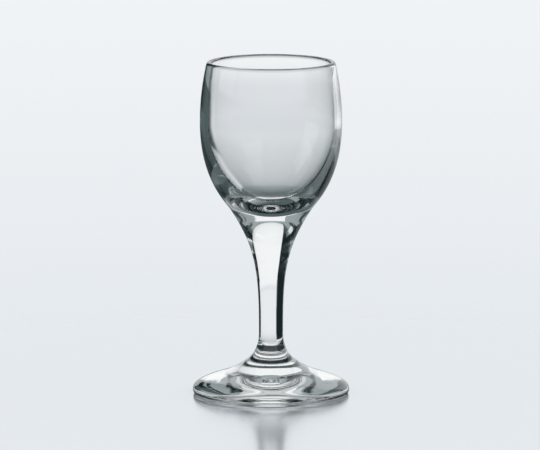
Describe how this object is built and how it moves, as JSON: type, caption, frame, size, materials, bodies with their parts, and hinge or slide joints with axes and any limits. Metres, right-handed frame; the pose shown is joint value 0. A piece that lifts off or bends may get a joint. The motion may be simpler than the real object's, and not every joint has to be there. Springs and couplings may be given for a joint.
{
  "type": "liqueur glass",
  "caption": "Small stemmed liqueur glass in clear glass: tulip bowl with a thick base, solid waisted stem and shallow conical foot, made as separate welded pieces.",
  "frame": {"origin": "middle of the flat ring that the foot stands on, on the glass's axis of revolution", "axes": "+Z along the axis of revolution, from the foot up to the rim; the glass is round, so X and Y are free"},
  "size_m": [0.045, 0.045, 0.096],
  "materials": {
    "bowl_glass": "clear, fire-polished",
    "stem_glass": "clear, fire-polished",
    "foot_glass": "clear, with faint chill ripples"
  },
  "bodies": {
    "root": {"bowl": "bowl_glass", "stem": "stem_glass", "foot": "foot_glass"}
  },
  "joints": []
}
